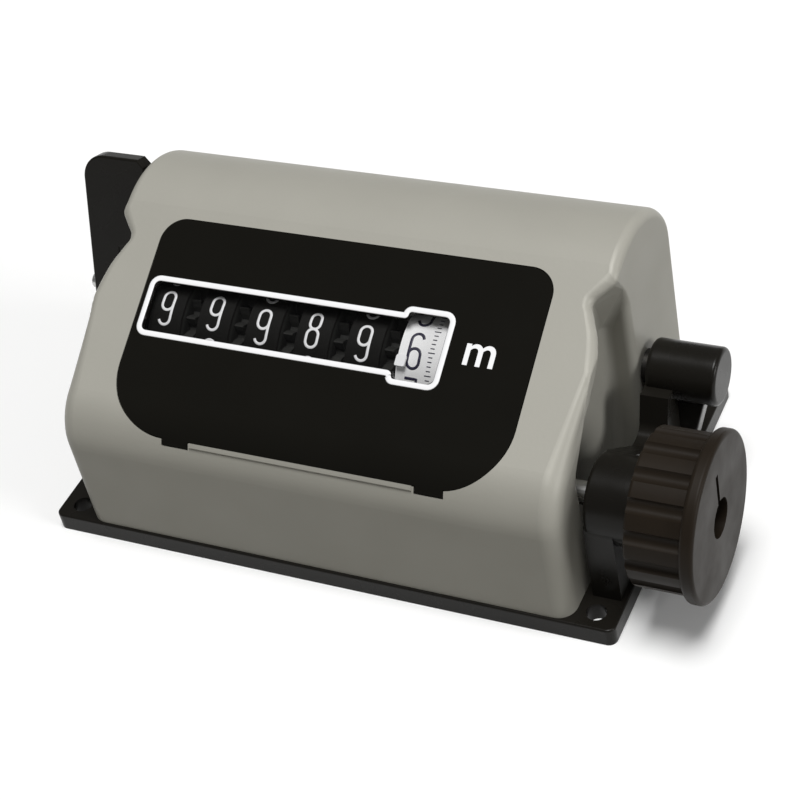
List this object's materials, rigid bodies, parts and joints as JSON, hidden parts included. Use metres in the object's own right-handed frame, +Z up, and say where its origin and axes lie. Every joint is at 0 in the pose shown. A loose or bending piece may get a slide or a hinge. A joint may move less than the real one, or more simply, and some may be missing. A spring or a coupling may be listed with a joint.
{
  "type": "cable length counter",
  "caption": "Mechanical length counter for measuring cable: number drums under a sloping hood, fluted reset knob, disengaging lever and a flat screw-down base.",
  "frame": {"origin": "centre of the base plate's underside", "axes": "+X along the drum shaft towards the knob, +Y from the window side to the back, +Z up"},
  "size_m": [0.1342, 0.063, 0.0505],
  "materials": {
    "black_plastic": "gloss",
    "hood_paint": "satin",
    "panel_black": "gloss",
    "clear": "polished",
    "plate_steel": "brushed",
    "shaft_steel": "ground",
    "screw_steel": "plated",
    "bush_brass": "turned",
    "drum_black": "satin",
    "drum_white": "satin",
    "pinion_grey": "satin",
    "pinion_brass": "cut"
  },
  "bodies": {
    "housing": {"base_plate": "black_plastic", "bearing_bushes": "bush_brass", "bracket_screws": "screw_steel", "drive_shaft_cap": "black_plastic", "drum_spacers": "shaft_steel", "foot_screws": "screw_steel", "front_panel": "panel_black", "hood": "hood_paint", "hood_screws": "screw_steel", "left_bracket": "black_plastic", "left_side_plate": "plate_steel", "plate_bushes": "bush_brass", "right_bracket": "black_plastic", "right_side_plate": "plate_steel", "tie_rod_screws": "screw_steel", "tie_rods": "shaft_steel", "window_lens": "clear"},
    "drive": {"drive_shaft": "shaft_steel", "drive_pinion": "pinion_brass", "thrust_ring": "shaft_steel"},
    "drum_1": {"digit_drum_1": "drum_black"},
    "drum_2": {"digit_drum_2": "drum_black"},
    "drum_3": {"digit_drum_3": "drum_black"},
    "drum_4": {"digit_drum_4": "drum_black"},
    "drum_5": {"digit_drum_5": "drum_black"},
    "drum_6": {"digit_drum_6": "drum_white", "units_gear": "pinion_grey"},
    "pinion_1": {"transfer_pinion_1": "pinion_grey"},
    "pinion_2": {"transfer_pinion_2": "pinion_grey"},
    "pinion_3": {"transfer_pinion_3": "pinion_grey"},
    "pinion_4": {"transfer_pinion_4": "pinion_grey"},
    "pinion_5": {"transfer_pinion_5": "pinion_grey"},
    "knob": {"reset_knob": "black_plastic", "knob_screw": "screw_steel", "knob_shaft": "shaft_steel", "knob_gear": "pinion_grey"},
    "reset_shaft": {"drum_shaft": "shaft_steel", "drum_shaft_gear": "pinion_grey"},
    "lever": {"lever_sleeve": "shaft_steel", "pinion_cradle": "shaft_steel", "pinion_shaft": "shaft_steel", "disengage_lever": "black_plastic"}
  },
  "joints": [
    {"name": "drive_turn", "type": "hinge", "parent": "housing", "child": "drive", "pos_m": [0.0224, 0.01173, 0.02253], "axis": [1, 0, 0], "continuous": true},
    {"name": "drum_1_turn", "type": "hinge", "parent": "housing", "child": "drum_1", "pos_m": [-0.0328, -0.00219, 0.02727], "axis": [1, 0, 0], "continuous": true},
    {"name": "drum_2_turn", "type": "hinge", "parent": "housing", "child": "drum_2", "pos_m": [-0.0231, -0.00219, 0.02727], "axis": [1, 0, 0], "continuous": true},
    {"name": "drum_3_turn", "type": "hinge", "parent": "housing", "child": "drum_3", "pos_m": [-0.0134, -0.00219, 0.02727], "axis": [1, 0, 0], "continuous": true},
    {"name": "drum_4_turn", "type": "hinge", "parent": "housing", "child": "drum_4", "pos_m": [-0.0037, -0.00219, 0.02727], "axis": [1, 0, 0], "continuous": true},
    {"name": "drum_5_turn", "type": "hinge", "parent": "housing", "child": "drum_5", "pos_m": [0.006, -0.00219, 0.02727], "axis": [1, 0, 0], "continuous": true},
    {"name": "drum_6_turn", "type": "hinge", "parent": "housing", "child": "drum_6", "pos_m": [0.0157, -0.00219, 0.02727], "axis": [1, 0, 0], "continuous": true},
    {"name": "lever_swing", "type": "hinge", "parent": "housing", "child": "lever", "pos_m": [-0.05, 0.01173, 0.02253], "axis": [1, 0, 0], "range_deg": [0, 16]},
    {"name": "pinion_1_turn", "type": "hinge", "parent": "lever", "child": "pinion_1", "pos_m": [-0.02795, 0.00588, 0.01583], "axis": [1, 0, 0], "continuous": true},
    {"name": "pinion_2_turn", "type": "hinge", "parent": "lever", "child": "pinion_2", "pos_m": [-0.01825, 0.00588, 0.01583], "axis": [1, 0, 0], "continuous": true},
    {"name": "pinion_3_turn", "type": "hinge", "parent": "lever", "child": "pinion_3", "pos_m": [-0.00855, 0.00588, 0.01583], "axis": [1, 0, 0], "continuous": true},
    {"name": "pinion_4_turn", "type": "hinge", "parent": "lever", "child": "pinion_4", "pos_m": [0.00115, 0.00588, 0.01583], "axis": [1, 0, 0], "continuous": true},
    {"name": "pinion_5_turn", "type": "hinge", "parent": "lever", "child": "pinion_5", "pos_m": [0.01085, 0.00588, 0.01583], "axis": [1, 0, 0], "continuous": true},
    {"name": "knob_turn", "type": "hinge", "parent": "housing", "child": "knob", "pos_m": [0.063, -0.01717, 0.01966], "axis": [1, 0, 0], "continuous": true},
    {"name": "reset_shaft_turn", "type": "hinge", "parent": "housing", "child": "reset_shaft", "pos_m": [0.03, -0.00219, 0.02727], "axis": [1, 0, 0], "continuous": true}
  ],
  "couplings": [
    {"joint": "drum_1_turn", "follows": "drive_turn", "ratio": -0.000005},
    {"joint": "drum_2_turn", "follows": "drive_turn", "ratio": -0.00005},
    {"joint": "drum_3_turn", "follows": "drive_turn", "ratio": -0.0005},
    {"joint": "drum_4_turn", "follows": "drive_turn", "ratio": -0.005},
    {"joint": "drum_5_turn", "follows": "drive_turn", "ratio": -0.05},
    {"joint": "drum_6_turn", "follows": "drive_turn", "ratio": -0.5},
    {"joint": "pinion_1_turn", "follows": "drive_turn", "ratio": 0.0000125},
    {"joint": "pinion_2_turn", "follows": "drive_turn", "ratio": 0.000125},
    {"joint": "pinion_3_turn", "follows": "drive_turn", "ratio": 0.00125},
    {"joint": "pinion_4_turn", "follows": "drive_turn", "ratio": 0.0125},
    {"joint": "pinion_5_turn", "follows": "drive_turn", "ratio": 0.125},
    {"joint": "reset_shaft_turn", "follows": "knob_turn", "ratio": -0.75}
  ]
}
